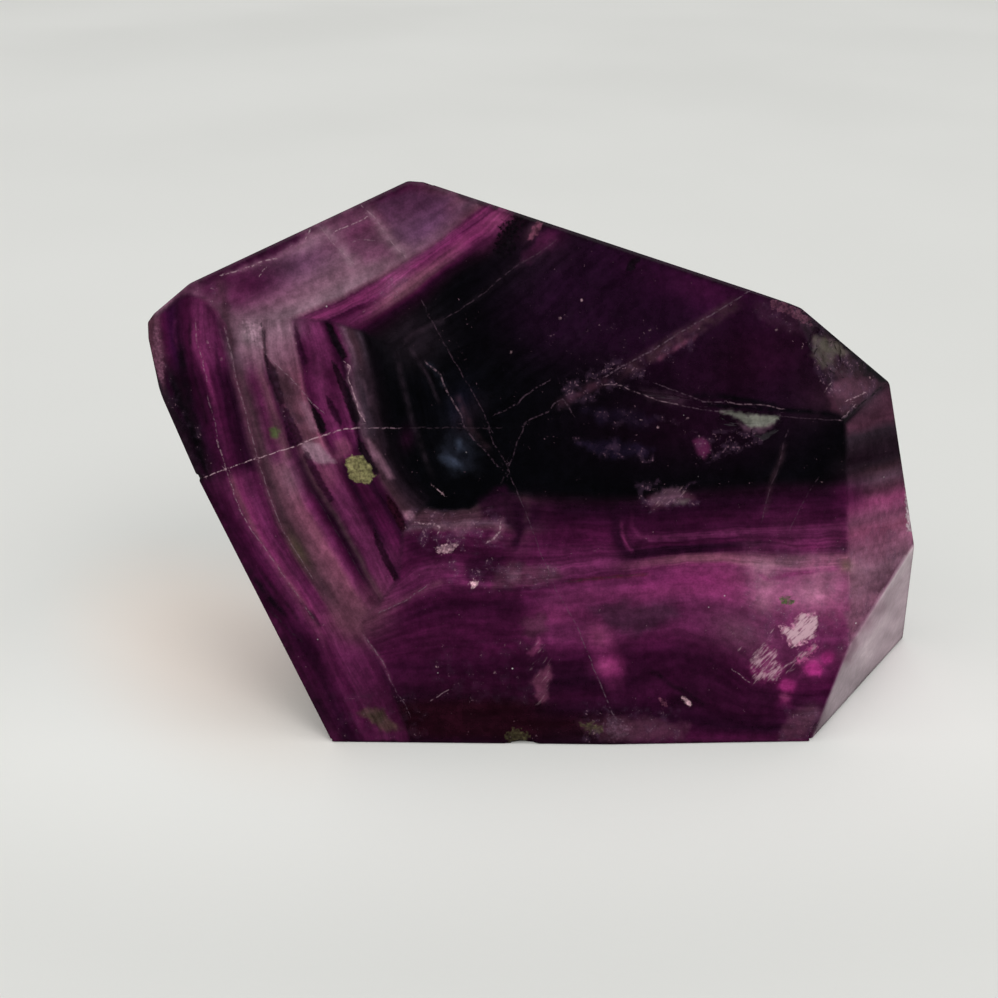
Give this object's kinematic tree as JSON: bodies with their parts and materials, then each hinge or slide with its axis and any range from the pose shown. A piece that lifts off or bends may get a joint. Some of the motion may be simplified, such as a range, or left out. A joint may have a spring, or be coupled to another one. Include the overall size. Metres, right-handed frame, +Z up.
{
  "type": "polished fluorite freeform",
  "caption": "Self-standing polished freeform of banded purple fluorite, ground to flat facets, leaning slightly back on a flat base.",
  "frame": {"origin": "middle of the bounding box's underside, on the surface that the stone stands on", "axes": "+Z up, +X along the stone's width to the right as seen from its broad banded face, +Y from that face towards the back"},
  "size_m": [0.0863, 0.0338, 0.0578],
  "materials": {
    "fluorite": "polished translucent purple with magenta, mauve and near-black growth bands"
  },
  "bodies": {
    "root": {"fluorite_stone": "fluorite"}
  },
  "joints": []
}
